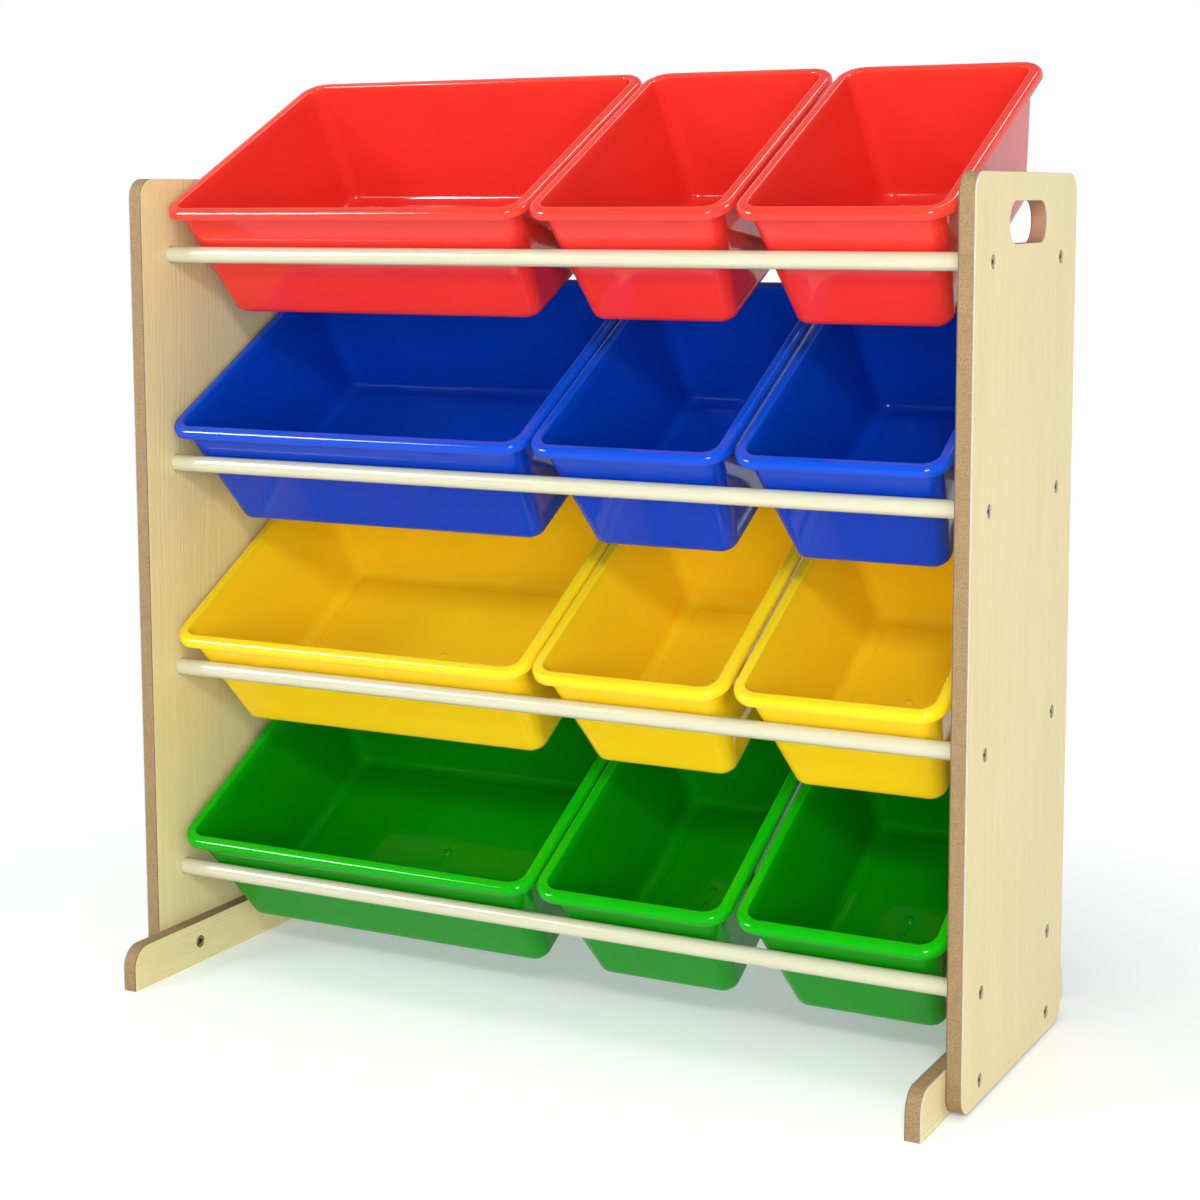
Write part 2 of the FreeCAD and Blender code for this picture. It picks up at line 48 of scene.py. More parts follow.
# ---------------------------------------------------------------- sizes of the bins, as moulded
# The panel is the raised field of a bin's base, and the gates are the two marks in its middle.
# The width comes from each bin's own solid.
BIN = {
    "Length": 297 * MM,
    "Height": 128.5 * MM,
    "Wall": 2.2 * MM,
    "Rim overhang": 9 * MM,
    "Rim height": 9 * MM,
    "Rim corner": 25 * MM,
    "Rim rounding": 5 * MM,
    "Lip rounding": 1 * MM,
    "Mouth rounding": 1.8 * MM,
    "Front lean": 21 * MM,
    "Rear lean": 13.5 * MM,
    "Side lean": 18.5 * MM,
    "Base corner": 15 * MM,
    "Base rounding": 8 * MM,
    "Floor rounding": 8 * MM,
    "Panel margin": 5 * MM,
    "Panel corner": 5 * MM,
    "Panel rise": 0.7 * MM,
    "Panel edge": 1.8 * MM,
    "Gate radius": 4.4 * MM,
    "Gate rise": 0.35 * MM,
    "Gate spacing": 20 * MM,
}
TILTS = {"red": 27, "blue": 29.3, "yellow": 30, "green": 29}     # degrees, from the top row down
KINDS = ("large_bin", "small_bin_1", "small_bin_2")
ROD_RADIUS = 8 * MM
ROD_GAP = 0.3 * MM                  # between a rod and the bin that rests on it
GATES = ((0, 1), (1, 0.75))         # spacings in front of the middle, and share of the full radius
GATE_SIDES = 28
FILLET_STEPS = 6
CORNER_STEPS = 10
CORNER_COLUMNS = CORNER_STEPS + 3   # a corner's points, and one on the flat on each side of them
EASING = 2 * MM                     # keeps the flat stretches flat beside a rounding
SLACK = 0.1 * MM                    # what still counts as the same inset
MERGE = 0.002 * MM


# ---------------------------------------------------------------- arithmetic in node trees
class Wire:
    """A value in a node tree that takes plain arithmetic."""

    def __init__(self, tree, socket):
        self.tree = tree
        self.socket = socket

    def join(self, operation, *others):
        """What a Math node makes of this value and the others."""
        node = self.tree.nodes.new("ShaderNodeMath")
        node.operation = operation
        for plug, source in zip(node.inputs, (self, *others)):
            feed(self.tree, source, plug)
        return Wire(self.tree, node.outputs[0])

    def __add__(self, other):
        return self.join("ADD", other)

    def __sub__(self, other):
        return self.join("SUBTRACT", other)

    def __rsub__(self, other):
        return -self + other

    def __mul__(self, other):
        return self.join("MULTIPLY", other)

    def __truediv__(self, other):
        return self.join("DIVIDE", other)

    def __neg__(self):
        return self * -1

    def least(self, other):
        return self.join("MINIMUM", other)

    def most(self, other):
        return self.join("MAXIMUM", other)

    def between(self, low, high):
        return self.most(low).least(high)

    def above(self, start, gain):
        """How far it lies above start, times gain, from 0 to 1."""
        return ((self - start) * gain).between(0, 1)

    def ramp(self, start, end):
        """0 at start and before it, 1 at end and past it, and straight between them."""
        return ((self - start) / (end - start)).between(0, 1)


def feed(tree, source, plug):
    """Put a wire, a socket or a plain value into a node's input."""
    if isinstance(source, Wire):
        tree.links.new(source.socket, plug)
    elif isinstance(source, bpy.types.NodeSocket):
        tree.links.new(source, plug)
    else:
        plug.default_value = source


def add(tree, kind, plugs=(), **settings):
    """A node with its settings, and its inputs fed by name or place."""
    node = tree.nodes.new(kind)
    for name, value in settings.items():
        setattr(node, name, value)
    for name, source in dict(plugs).items():
        feed(tree, source, node.inputs[name])
    return node


def vector(tree, x, y, z):
    return add(tree, "ShaderNodeCombineXYZ", {0: x, 1: y, 2: z}).outputs[0]


def parts_of(tree, source):
    node = add(tree, "ShaderNodeSeparateXYZ", {0: source})
    return [Wire(tree, out) for out in node.outputs]


def new_object(name, data):
    """An object with that data, in the scene."""
    made = bpy.data.objects.new(name, data)
    bpy.context.scene.collection.objects.link(made)
    return made


# ---------------------------------------------------------------- the bin, as a node tree
def pick(tree, entries, place):
    """The entry whose number is place, as a field."""
    node = add(tree, "GeometryNodeIndexSwitch", data_type="FLOAT")
    while len(node.index_switch_items) < len(entries):
        node.index_switch_items.new()
    feed(tree, place, node.inputs["Index"])
    for plug, source in zip(node.inputs[1:], entries):
        feed(tree, source, plug)
    return Wire(tree, node.outputs[0])


def bin_inputs(tree):
    """The tree's inputs: the sizes by name, as wires, and the material's socket."""
    names = ["Width", *BIN]
    for name in names:
        plug = tree.interface.new_socket(name, in_out="INPUT", socket_type="NodeSocketFloat")
        plug.subtype = "DISTANCE"
    tree.interface.new_socket("Material", in_out="INPUT", socket_type="NodeSocketMaterial")
    source = tree.nodes.new("NodeGroupInput")
    return {name: Wire(tree, source.outputs[name]) for name in names}, source.outputs["Material"]


def wall_section(size):
    """Rows of (inset from the rim's outer edge, height, rounding), from the underside's middle,
    round the outside and the rim, and down the inside to the floor's middle."""
    wall, height, overhang = size["Wall"], size["Height"], size["Rim overhang"]
    rounding, hollow, mouth = size["Base rounding"], size["Floor rounding"], size["Mouth rounding"]
    rise, edge = size["Panel rise"], size["Panel edge"]
    inside = overhang + wall
    floor = wall - height
    shore = inside + hollow + size["Panel margin"]

    def middle(level):
        """The inset at which opposite sides of a ring at that level meet."""
        share = -level / height
        from_front = (size["Length"] - share * (size["Front lean"] + size["Rear lean"])) / 2
        return from_front.least(size["Width"] / 2 - share * size["Side lean"])

    return (
        (middle(-height), -height, 0),
        (overhang + rounding + EASING, -height, 0),
        (overhang, -height, rounding),
        (overhang, rounding + EASING - height, 0),
        (overhang, -wall - EASING, 0),
        (overhang, -wall, wall / 4),
        (wall, -wall, wall / 4),
        (wall, -size["Rim height"], wall / 4),
        (0, -size["Rim height"], size["Lip rounding"]),
        (0, 0, size["Rim rounding"]),
        (inside - mouth - EASING / 4, 0, 0),
        (inside, 0, mouth),
        (inside, -mouth - EASING, 0),
        (inside, floor + hollow + EASING, 0),
        (inside, floor, hollow),
        (shore - edge, floor, 0),
        (shore, floor, edge / 3),
        (shore + edge, floor + rise, edge / 2),
        (shore + edge * 2, floor + rise, 0),
        (middle(floor + rise), floor + rise, 0),
    )


def section_curve(tree, section):
    """The section with its roundings, as a curve: the inset runs along X and the height along Y."""
    index = tree.nodes.new("GeometryNodeInputIndex").outputs[0]
    insets, levels, roundings = (pick(tree, entries, index) for entries in zip(*section))
    line = add(tree, "GeometryNodeMeshLine", {"Count": len(section)}, mode="OFFSET")
    placed = add(tree, "GeometryNodeSetPosition", {
        "Geometry": line.outputs[0], "Position": vector(tree, insets, levels, 0.0)})
    curve = add(tree, "GeometryNodeMeshToCurve", {"Mesh": placed.outputs[0]})
    return add(tree, "GeometryNodeFilletCurve", {
        "Curve": curve.outputs[0], "Count": FILLET_STEPS, "Radius": roundings,
        "Limit Radius": True}, mode="POLY").outputs[0]


def ring_place(tree, size, turn, inset, level, is_ring):
    """Where a point lies on the rounded rectangle at that inset and level. The turn counts columns
    from the front left corner, and is_ring is 0 where the rectangle has shrunk to a point."""
    overhang, rim_corner = size["Rim overhang"], size["Rim corner"]
    corner = (turn / CORNER_COLUMNS).join("FLOOR")
    step = turn - corner * CORNER_COLUMNS - 1
    angle = (corner + 2 + (step / CORNER_STEPS).between(0, 1)) * (math.pi / 2)
    on_right = corner.join("COMPARE", 1.5, 0.6)                 # corners 1 and 2
    at_rear = corner.join("GREATER_THAN", 1.5)                  # corners 2 and 3
    lean = inset.join("GREATER_THAN", overhang - SLACK) * (-level / size["Height"])
    leaning = rim_corner - inset + lean * (size["Base corner"] + overhang - rim_corner)
    radius = leaning.most(size["Panel corner"]) * is_ring
    past = step.join("GREATER_THAN", CORNER_STEPS + 0.5) - step.join("LESS_THAN", -0.5)
    beyond = past * (is_ring * EASING)
    left = inset + lean * size["Side lean"] + radius
    right = size["Width"] - left
    front = inset + lean * size["Front lean"] + radius
    rear = size["Length"] - inset - lean * size["Rear lean"] - radius
    cos, sin = angle.join("COSINE"), angle.join("SINE")
    x = left + on_right * (right - left) + radius * cos - beyond * sin
    y = front + at_rear * (rear - front) + radius * sin + beyond * cos
    return vector(tree, x, y, level)


def swept_shell(tree, size, section):
    """The section carried round the bin, on a grid with a row for each of the section's points and
    a column for each place round the ring. The first row shrinks to a point in the underside's
    middle, and the last one in the floor's."""
    stations = add(tree, "GeometryNodeAttributeDomainSize", {"Geometry": section},
                   component="CURVE").outputs["Point Count"]
    columns = 4 * CORNER_COLUMNS
    last_row = Wire(tree, stations) - 1
    grid = add(tree, "GeometryNodeMeshGrid", {
        "Size X": float(columns), "Size Y": last_row, "Vertices X": columns + 1,
        "Vertices Y": stations})
    position = add(tree, "GeometryNodeInputPosition").outputs[0]
    across, down, _ = parts_of(tree, position)
    column = (across + columns / 2).join("ROUND")
    row = (down + last_row / 2).join("ROUND")
    sampled = add(tree, "GeometryNodeSampleIndex", {
        "Geometry": section, "Value": position, "Index": row},
        data_type="FLOAT_VECTOR", domain="POINT")
    inset, level, _ = parts_of(tree, sampled.outputs[0])
    is_ring = row.join("GREATER_THAN", 0.5) * row.join("LESS_THAN", last_row - 0.5)
    place = ring_place(tree, size, column.join("MODULO", columns), inset, level, is_ring)
    shell = add(tree, "GeometryNodeSetPosition", {"Geometry": grid.outputs[0], "Position": place})
    return add(tree, "GeometryNodeMergeByDistance", {
        "Geometry": shell.outputs[0], "Distance": MERGE}).outputs[0]


def gate_place(tree, size, spacings, level):
    """The place that many gate spacings in front of the base's middle."""
    middle = (size["Length"] + size["Front lean"] - size["Rear lean"]) / 2
    return vector(tree, size["Width"] / 2, middle - size["Gate spacing"] * spacings, level)


def gate_marks(tree, size, level):
    """Two low discs where the plastic flowed into the mould."""
    disc = add(tree, "GeometryNodeMeshCylinder", {
        "Vertices": GATE_SIDES, "Side Segments": 1, "Fill Segments": 2,
        "Radius": size["Gate radius"], "Depth": size["Gate rise"] * 2}, fill_type="TRIANGLE_FAN")
    marks = add(tree, "GeometryNodeJoinGeometry")
    for spacings, share in GATES:
        moved = add(tree, "GeometryNodeTransform", {
            "Geometry": disc.outputs[0], "Translation": gate_place(tree, size, spacings, level),
            "Scale": (share, share, 1)})
        tree.links.new(moved.outputs[0], marks.inputs[0])
    return marks.outputs[0]


def store(tree, geometry, name, value):
    """The geometry with a vector kept at each point, which the plastic reads by its name."""
    return add(tree, "GeometryNodeStoreNamedAttribute", {
        "Geometry": geometry, "Name": name, "Value": value},
        data_type="FLOAT_VECTOR", domain="POINT").outputs[0]


def bin_tree():
    """A moulded bin in its own frame: X along the front of the rim, Y back, the rim's top at Z 0.
    A section through the wall runs round a rounded rectangle whose corners lean in with depth."""
    tree = bpy.data.node_groups.new("moulded bin", "GeometryNodeTree")
    tree.interface.new_socket("Geometry", in_out="OUTPUT", socket_type="NodeSocketGeometry")
    size, material = bin_inputs(tree)
    floor = size["Wall"] - size["Height"]
    marks = gate_marks(tree, size, floor + size["Panel rise"])
    shell = swept_shell(tree, size, section_curve(tree, wall_section(size)))
    whole = add(tree, "GeometryNodeJoinGeometry")
    for piece in (marks, shell):
        tree.links.new(piece, whole.inputs[0])
    position = add(tree, "GeometryNodeInputPosition").outputs[0]
    from_gate = add(tree, "ShaderNodeVectorMath", {
        0: position, 1: gate_place(tree, size, 0.5, floor)}, operation="SUBTRACT").outputs[0]
    placed = store(tree, whole.outputs[0], "bin_place", position)
    told = store(tree, placed, "from_gate", from_gate)
    smooth = add(tree, "GeometryNodeSetShadeSmooth", {"Geometry": told})
    real = add(tree, "GeometryNodeRealizeInstances", {"Geometry": smooth.outputs[0]})
    dressed = add(tree, "GeometryNodeSetMaterial", {
        "Geometry": real.outputs[0], "Material": material})
    out = tree.nodes.new("NodeGroupOutput")
    tree.links.new(dressed.outputs[0], out.inputs[0])
    return tree


def rod_centre(node):
    low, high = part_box(node)
    return (low + high) / 2


def bin_seat(tilt):
    """Where the rim's front edge lies, back from the front rod's axis and above it. The front wall
    leans on the front rod, and the base lies on the rear one."""
    slope = BIN["Front lean"] / BIN["Height"]
    touch = ROD_RADIUS + ROD_GAP
    spread = rod_centre("rear_rod_1").y - rod_centre("front_rod_1").y
    rod_z = spread * math.sin(tilt) - BIN["Height"] - touch
    rod_y = BIN["Rim overhang"] - slope * rod_z - touch * math.sqrt(1 + slope ** 2)
    back = rod_z * math.sin(tilt) - rod_y * math.cos(tilt)
    rise = -rod_z * math.cos(tilt) - rod_y * math.sin(tilt)
    return back, rise


def make_bin(tree, node, colour, level, material):
    """Run the tree for one bin, and set the mesh where its solid lies."""
    low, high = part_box(node)
    made = new_object(f"{node}_body", bpy.data.meshes.new(node))
    modifier = made.modifiers.new("bin", "NODES")
    modifier.node_group = tree
    values = {"Width": high.x - low.x, **BIN, "Material": material}
    for item in tree.interface.items_tree:
        if item.in_out == "INPUT":
            modifier[item.identifier] = values[item.name]
    graph = bpy.context.evaluated_depsgraph_get()
    mesh = bpy.data.meshes.new_from_object(made.evaluated_get(graph), depsgraph=graph)
    made.modifiers.remove(modifier)
    made.data = mesh
    mesh.materials.clear()
    mesh.materials.append(material)
    tilt = math.radians(TILTS[colour])
    rod = rod_centre(f"front_rod_{level}")
    back, rise = bin_seat(tilt)
    mesh.transform(Matrix.Translation((low.x, rod.y + back, rod.z + rise))
                   @ Matrix.Rotation(tilt, 4, "X"))
    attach(made, node)
    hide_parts(node)


# ---------------------------------------------------------------- effects that materials share
GRAIN_SCALES = {                    # features per metre: twice across the grain, once along it
    "Wander": (11.0, 11.0, 1.5),
    "Ripple": (45.0, 45.0, 30.0),
    "Patch": (13.0, 13.0, 1.1),
    "Fibre": (420.0, 420.0, 7.0),
    "Pores": (1100.0, 1100.0, 60.0),
}
RIPPLE = 6 * MM                     # how far the fine ripple moves a growth ring
RING_SLANT = 0.4                    # how far the rings lean across the board
RING_SHARPNESS = 2.5
MIX_SHARE, MIX_FIRST, MIX_SECOND, MIX_RESULT = 0, 6, 7, 2       # a colour Mix node's sockets


def new_group(name, takes, gives):
    """A shader node group with named inputs, each with its start value, and named outputs."""
    tree = bpy.data.node_groups.new(name, "ShaderNodeTree")
    for title, start in takes.items():
        kind = "NodeSocketVector" if start is None else "NodeSocketFloat"
        plug = tree.interface.new_socket(title, in_out="INPUT", socket_type=kind)
        if start is not None:
            plug.default_value = start
    for title in gives:
        tree.interface.new_socket(title, in_out="OUTPUT", socket_type="NodeSocketFloat")
    return tree, tree.nodes.new("NodeGroupInput"), tree.nodes.new("NodeGroupOutput")


def noise(tree, place, scale, detail=2.0, roughness=0.5, distortion=0.0):
    """Noise from 0 to 1; scale is features per metre, as one value or as three plain numbers."""
    if isinstance(scale, tuple):
        place = add(tree, "ShaderNodeVectorMath", {0: place, 1: scale}, operation="MULTIPLY").outputs[0]
        scale = 1.0
    node = add(tree, "ShaderNodeTexNoise", {
        "Vector": place, "Scale": scale, "Detail": detail, "Roughness": roughness,
        "Distortion": distortion})
    return Wire(tree, node.outputs[0])


def grain_group():
    """Wood figure whose grain runs along Z: growth rings, fine fibre and short pores."""
    takes = {"Vector": None, "Ring spacing": 4.5 * MM, "Wander": 60 * MM}
    tree, source, sink = new_group("wood grain", takes, ("Rings", "Fibre", "Pores"))
    place = source.outputs["Vector"]
    x, y, _ = parts_of(tree, place)
    wander = noise(tree, place, GRAIN_SCALES["Wander"]) - 0.5
    ripple = noise(tree, place, GRAIN_SCALES["Ripple"]) - 0.5
    moved = y + x * RING_SLANT + wander * source.outputs["Wander"] + ripple * RIPPLE
    across = moved / source.outputs["Ring spacing"]
    ring = (across.join("PINGPONG", 0.5) * 2).join("POWER", RING_SHARPNESS)
    patch = noise(tree, place, GRAIN_SCALES["Patch"]).above(0.38, gain=5).most(0.15)
    feed(tree, ring * patch, sink.inputs["Rings"])
    fibre = noise(tree, place, GRAIN_SCALES["Fibre"], detail=4.0, roughness=0.65)
    feed(tree, ((fibre - 0.5) * 2.2 + 0.5).between(0, 1), sink.inputs["Fibre"])
    pores = noise(tree, place, GRAIN_SCALES["Pores"], detail=1.0)
    feed(tree, pores.above(0.66, gain=12), sink.inputs["Pores"])
    return tree


def handling_group():
    """What use leaves on a surface: soft smudges and fine dust."""
    takes = {"Vector": None, "Smudge scale": 16.0, "Dust scale": 900.0}
    tree, source, sink = new_group("handling", takes, ("Smudge", "Dust"))
    place = source.outputs["Vector"]
    smudge = noise(tree, place, source.outputs["Smudge scale"], detail=4.0, distortion=0.6)
    feed(tree, smudge.above(0.35, gain=3), sink.inputs["Smudge"])
    dust = noise(tree, place, source.outputs["Dust scale"], detail=1.0)
    feed(tree, dust.above(0.70, gain=14), sink.inputs["Dust"])
    return tree


def effect(tree, group, plugs):
    """The group placed in a material's tree, and its outputs by name."""
    node = tree.nodes.new("ShaderNodeGroup")
    node.node_tree = group
    for name, source in plugs.items():
        feed(tree, source, node.inputs[name])
    return {plug.name: Wire(tree, plug) for plug in node.outputs}


def handling(tree, place, smudge_scale, dust_scale):
    """The smudges and the dust at that place, each with its own features per metre."""
    plugs = {"Vector": place, "Smudge scale": smudge_scale, "Dust scale": dust_scale}
    return effect(tree, HANDLING, plugs)


def blend(tree, share, first, second):
    """The first colour where share is 0 and the second where it is 1."""
    plugs = {MIX_SHARE: share, MIX_FIRST: first, MIX_SECOND: second}
    return add(tree, "ShaderNodeMix", plugs, data_type="RGBA").outputs[MIX_RESULT]


def layered(tree, tone, masks, layers):
    """The tone with layers over it: each has its mask's name, its strength and its colour."""
    for name, strength, colour in layers:
        tone = blend(tree, masks[name] * strength, tone, colour)
    return tone


def relief(tree, shader, height):
    """Bump the surface by a height in metres."""
    bump = add(tree, "ShaderNodeBump", {"Height": height, "Strength": 1.0, "Distance": 1.0})
    tree.links.new(bump.outputs[0], shader.inputs["Normal"])


# ---------------------------------------------------------------- materials
ROUGHNESS = {"plastic": 0.045, "sawn": 0.78, "printed": 0.40, "lacquer": 0.17, "plated": 0.26}

PLASTIC_TONES = {                   # inside and walls; the rim, a tone of painted light (lighter on red, blue and green, a little darker on yellow); and how strongly it mirrors
    "red": ((0.74, 0.030, 0.022, 1), (0.80, 0.043, 0.022, 1), 0.42),
    "blue": ((0.0005, 0.046, 0.48, 1), (0.001, 0.064, 0.56, 1), 0.27),
    "yellow": ((0.97, 0.62, 0.011, 1), (0.84, 0.60, 0.009, 1), 0.27),
    "green": ((0.001, 0.26, 0.001, 1), (0.001, 0.39, 0.001, 1), 0.18),
}
PLASTIC_DUST = (0.80, 0.78, 0.74, 1)
SMUDGE_GAIN = 1.3                   # a smudge's tone is the plastic's times this gain, and lifted
SMUDGE_LIFT = 0.01
RIM_LIGHT_LEVELS = (-13 * MM, -1 * MM)      # levels where the rim's painted light sets in and is full
WAVE_SCALES = (13.0, 13.0, 9.0)
WAVE_HEIGHT = 0.16 * MM
FLOW_REACH = (90 * MM, 10 * MM)     # distances from the gates where flow lines set in and are full
FLOW_LEVEL = (6 * MM, 3 * MM)       # heights over the base where they do
FLOW_HEIGHT = 0.5 * MM
FLOW_SCALE = 2.6                    # how fine the lines are round a gate
FLOW_CHANGE = 5                     # how fast they change on the way out, per metre

MAPLE = (0.830, 0.710, 0.375, 1)
MAPLE_LAYERS = (
    ("Fibre", 0.85, (0.740, 0.600, 0.275, 1)),
    ("Rings", 0.50, (0.62, 0.46, 0.19, 1)),
    ("Pores", 0.30, (0.46, 0.32, 0.15, 1)),
    ("Smudge", 0.12, (0.84, 0.74, 0.42, 1)),
)
SAWN = (0.170, 0.098, 0.036, 1)
SAWN_LAYERS = (
    ("Pale fibre", 1.0, (0.375, 0.255, 0.115, 1)),
    # painted light: the handle hole's walls lighter and redder, as bounce from the red bin
    ("Hole bounce light", 0.65, (0.52, 0.26, 0.165, 1)),
    ("Glue", 0.9, (0.10, 0.045, 0.028, 1)),
    # painted highlight: a pale grey line on the outer sheet's edge, in place of light on its rounded
    # arris
    ("Arris highlight", 0.75, (0.60, 0.61, 0.58, 1)),
)
# Depths under a face where each of these sets in, and where it is full
SHEET_DEPTH = (0.25 * MM, 0.19 * MM)
# where the painted arris highlight on the outer sheet's edge sets in and is full
ARRIS_HIGHLIGHT_DEPTH = (1.2 * MM, 1.1 * MM)
GLUE_DEPTH = (1.2 * MM, 1.05 * MM)
SAW_HEIGHT = 0.05 * MM
SPECKLE_HEIGHT = 0.10 * MM
GRAIN_HEIGHT = 0.015 * MM
HOLE_DROP = 42 * MM                             # the handle hole's middle, under the panel's top
HOLE_HALF = (60 * MM, 24 * MM)                  # half of a box that holds the hole, in Y and Z
NO_HOLE = (0, 0, 0, 0)                          # a box of no size

CREAM = (0.60, 0.59, 0.43, 1)
CREAM_LAYERS = (
    ("Fibre", 0.5, (0.53, 0.505, 0.345, 1)),
    ("Rings", 0.16, (0.72, 0.61, 0.36, 1)),
    ("Dust", 0.2, (0.60, 0.52, 0.38, 1)),
)
ROD_RING_SPACING = 3 * MM
LACQUER_HEIGHT = 0.012 * MM

STEEL_TONES = ((0.17, 0.115, 0.050, 1), (0.50, 0.41, 0.25, 1))  # dull, bright
BRONZE_TONES = ((0.08, 0.045, 0.020, 1), (0.43, 0.27, 0.14, 1))
TOOTH_HEIGHT = 0.02 * MM


def new_material(name):
    material = bpy.data.materials.new(name)
    material.use_nodes = True
    tree = material.node_tree
    return material, tree, tree.nodes["Principled BSDF"]


def glossy_plastic(name, deep, light, shine):
    """Moulded plastic: deep colour with painted light on the rim (lighter, and a little darker on
    yellow), the mould's slow waves, the flow lines that fan out from the gates, smudges and a
    little dust."""
    material, tree, shader = new_material(name)
    place = add(tree, "ShaderNodeAttribute", attribute_name="bin_place").outputs["Vector"]
    from_gate = add(tree, "ShaderNodeAttribute", attribute_name="from_gate").outputs["Vector"]
    _, _, level = parts_of(tree, place)
    marks = handling(tree, place, smudge_scale=11.0, dust_scale=1300.0)
    # painted light: the rim takes its lit tone, fading in from 13 mm under the top to 1 mm
    rim = level.ramp(*RIM_LIGHT_LEVELS)
    pale = [min(1.0, channel * SMUDGE_GAIN + SMUDGE_LIFT) for channel in deep[:3]] + [1]
    # the Rim layer is painted light on the rim, not a second plastic
    layers = (("Rim", 1.0, light), ("Smudge", 0.12, pale), ("Dust", 0.08, PLASTIC_DUST))
    tone = layered(tree, deep, {**marks, "Rim": rim}, layers)
    tree.links.new(tone, shader.inputs["Base Color"])
    worn = marks["Smudge"] * 0.035 + marks["Dust"] * 0.15
    feed(tree, worn + ROUGHNESS["plastic"], shader.inputs["Roughness"])
    waves = noise(tree, place, WAVE_SCALES, detail=1.0) * (1 - rim)
    out_x, out_y, up = parts_of(tree, from_gate)
    reach = (out_x * out_x + out_y * out_y).join("SQRT")
    spoke = vector(tree, out_x / (reach + MM), out_y / (reach + MM), reach * FLOW_CHANGE)
    near = reach.ramp(*FLOW_REACH) * up.ramp(*FLOW_LEVEL)
    flow = noise(tree, spoke, FLOW_SCALE, detail=3.0) * near
    relief(tree, shader, waves * WAVE_HEIGHT + flow * FLOW_HEIGHT)
    shader.inputs["Specular IOR Level"].default_value = shine
    return material


def board(name, inner, outer, grain_axis, hole=NO_HOLE):
    """Fibreboard between two printed sheets: maple figure on the faces and sawn brown fibre on the
    edges, with a dark glue line at both sheets and a painted highlight along the outer sheet's edge,
    where its rounded arris would catch the light. Inner and outer are the faces' distances from X 0.
    Hole is the handle hole's middle and half sizes in Y and Z: its walls carry painted light,
    lighter and redder, as the red bin's bounce."""
    material, tree, shader = new_material(name)
    place = add(tree, "ShaderNodeTexCoord").outputs["Object"]
    x, y, z = parts_of(tree, place)
    along = (x, y, z) if grain_axis == "Z" else (x, z, y)
    side = x.join("ABSOLUTE")
    depth = (side - inner).least(outer - side)
    printed = depth.ramp(*SHEET_DEPTH)
    grain = effect(tree, GRAIN, {"Vector": vector(tree, *along)})
    marks = handling(tree, place, smudge_scale=7.0, dust_scale=700.0)
    sheet = layered(tree, MAPLE, {**grain, **marks}, MAPLE_LAYERS)

    speckle = noise(tree, place, 900.0, detail=3.0, roughness=0.7)
    lumps = noise(tree, place, (160.0, 160.0, 110.0), detail=3.0, roughness=0.6)
    saw_lines = noise(tree, vector(tree, x * 60, y * 900, z * 900), 1.0)
    pale_fibre = (speckle - 0.5) * 2.4 + (lumps - 0.5) * 0.5 + (saw_lines - 0.5) * 0.5 + 0.5
    middle_y, middle_z, half_y, half_z = hole
    in_hole = ((y - middle_y).join("ABSOLUTE").join("LESS_THAN", half_y)
               * (z - middle_z).join("ABSOLUTE").join("LESS_THAN", half_z))
    outside = side.join("GREATER_THAN", (inner + outer) / 2)
    masks = {
        "Pale fibre": pale_fibre.between(0, 1),
        # painted red bounce light on the handle hole's walls
        "Hole bounce light": in_hole,
        "Glue": depth.ramp(*GLUE_DEPTH),
        # painted highlight along the outer sheet's edge
        "Arris highlight": outside * depth.ramp(*ARRIS_HIGHLIGHT_DEPTH),
    }
    sawn = layered(tree, SAWN, masks, SAWN_LAYERS)

    tree.links.new(blend(tree, printed, sawn, sheet), shader.inputs["Base Color"])
    smoother = printed * (ROUGHNESS["sawn"] - ROUGHNESS["printed"])
    feed(tree, ROUGHNESS["sawn"] - smoother - marks["Smudge"] * printed * 0.06,
         shader.inputs["Roughness"])
    rough = (speckle * SPECKLE_HEIGHT + saw_lines * SAW_HEIGHT) * (1 - printed)
    relief(tree, shader, rough - (grain["Pores"] * 0.6 + grain["Fibre"]) * printed * GRAIN_HEIGHT)
    return material


def lacquer(name):
    """Cream lacquer over turned wood: the grain only just shows through."""
    material, tree, shader = new_material(name)
    place = add(tree, "ShaderNodeTexCoord").outputs["Object"]
    x, y, z = parts_of(tree, place)
    plugs = {"Vector": vector(tree, y, z, x), "Ring spacing": ROD_RING_SPACING}
    grain = effect(tree, GRAIN, plugs)
    marks = handling(tree, place, smudge_scale=20.0, dust_scale=900.0)
    tone = layered(tree, CREAM, {**grain, **marks}, CREAM_LAYERS)
    tree.links.new(tone, shader.inputs["Base Color"])
    feed(tree, marks["Smudge"] * 0.08 + ROUGHNESS["lacquer"], shader.inputs["Roughness"])
    relief(tree, shader, (grain["Fibre"] + grain["Pores"]) * LACQUER_HEIGHT)
    return material


def plated(name, dull, bright):
    """Plated metal with smudges and a fine tumbled tooth."""
    material, tree, shader = new_material(name)
    place = add(tree, "ShaderNodeTexCoord").outputs["Object"]
    marks = handling(tree, place, smudge_scale=260.0, dust_scale=3000.0)
    tone = layered(tree, bright, marks, (("Smudge", 1.0, dull), ("Dust", 0.5, dull)))
    tree.links.new(tone, shader.inputs["Base Color"])
    feed(tree, marks["Smudge"] * 0.16 + ROUGHNESS["plated"], shader.inputs["Roughness"])
    relief(tree, shader, noise(tree, place, 2200.0) * TOOTH_HEIGHT)
    shader.inputs["Metallic"].default_value = 1.0
    return material


# ---------------------------------------------------------------- camera, light and floor
VIEW_PLACE = (1.03025, -1.9494, 0.76649)
VIEW_TURN = (28.026, 6.833, -0.234)             # azimuth, elevation and roll, in degrees
VIEW_SHIFT = (0.01628, -0.09882)
LENS = 70.32                                    # millimetres, as the sensor is
SENSOR = 36.0
VIEW_END = 20.0

